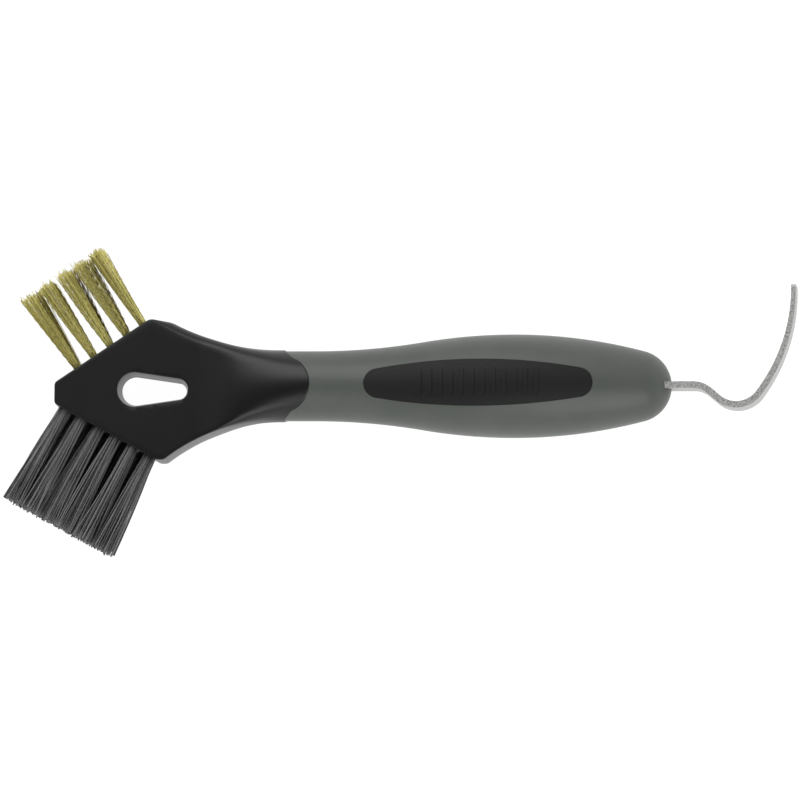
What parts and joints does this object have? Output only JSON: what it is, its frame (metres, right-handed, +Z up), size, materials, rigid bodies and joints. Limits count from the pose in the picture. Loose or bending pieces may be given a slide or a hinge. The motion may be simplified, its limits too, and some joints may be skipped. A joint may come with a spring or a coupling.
{
  "type": "two-sided cleaning brush with hook pick",
  "caption": "Hand-held cleaning brush: forked head with a brass wire brush and a nylon brush, teardrop hang hole, oval soft-inlay grip and a bent flat steel pick at the butt.",
  "frame": {"origin": "under the middle of the whole tool, on the surface it lies on", "axes": "+X along the handle towards the hook, +Y towards the brass brush, +Z up out of the front face"},
  "size_m": [0.229, 0.0884, 0.0258],
  "materials": {
    "handle_plastic": "moulded grey polypropylene, fine matt texture",
    "head_plastic": "moulded black polypropylene, satin",
    "soft_inlay": "moulded black thermoplastic elastomer, matt",
    "galvanised_strip": "rolled steel strip, zinc plated, dull",
    "brass_wire": "crimped drawn brass wire",
    "nylon_bristle": "extruded dark grey nylon filament",
    "anchor_wire": "flat anchor wire"
  },
  "bodies": {
    "root": {"brass_tuft_anchors": "anchor_wire", "brass_tuft_back_1": "brass_wire", "brass_tuft_back_2": "brass_wire", "brass_tuft_back_3": "brass_wire", "brass_tuft_back_4": "brass_wire", "brass_tuft_back_5": "brass_wire", "brass_tuft_front_1": "brass_wire", "brass_tuft_front_2": "brass_wire", "brass_tuft_front_3": "brass_wire", "brass_tuft_front_4": "brass_wire", "brass_tuft_front_5": "brass_wire", "brush_head": "head_plastic", "grip_inlay_back": "soft_inlay", "grip_inlay_front": "soft_inlay", "handle": "handle_plastic", "nylon_tuft_anchors": "anchor_wire", "nylon_tuft_back_1": "nylon_bristle", "nylon_tuft_back_2": "nylon_bristle", "nylon_tuft_back_3": "nylon_bristle", "nylon_tuft_back_4": "nylon_bristle", "nylon_tuft_back_5": "nylon_bristle", "nylon_tuft_front_1": "nylon_bristle", "nylon_tuft_front_2": "nylon_bristle", "nylon_tuft_front_3": "nylon_bristle", "nylon_tuft_front_4": "nylon_bristle", "nylon_tuft_front_5": "nylon_bristle", "nylon_tuft_front_6": "nylon_bristle", "steel_hook": "galvanised_strip"}
  },
  "joints": []
}
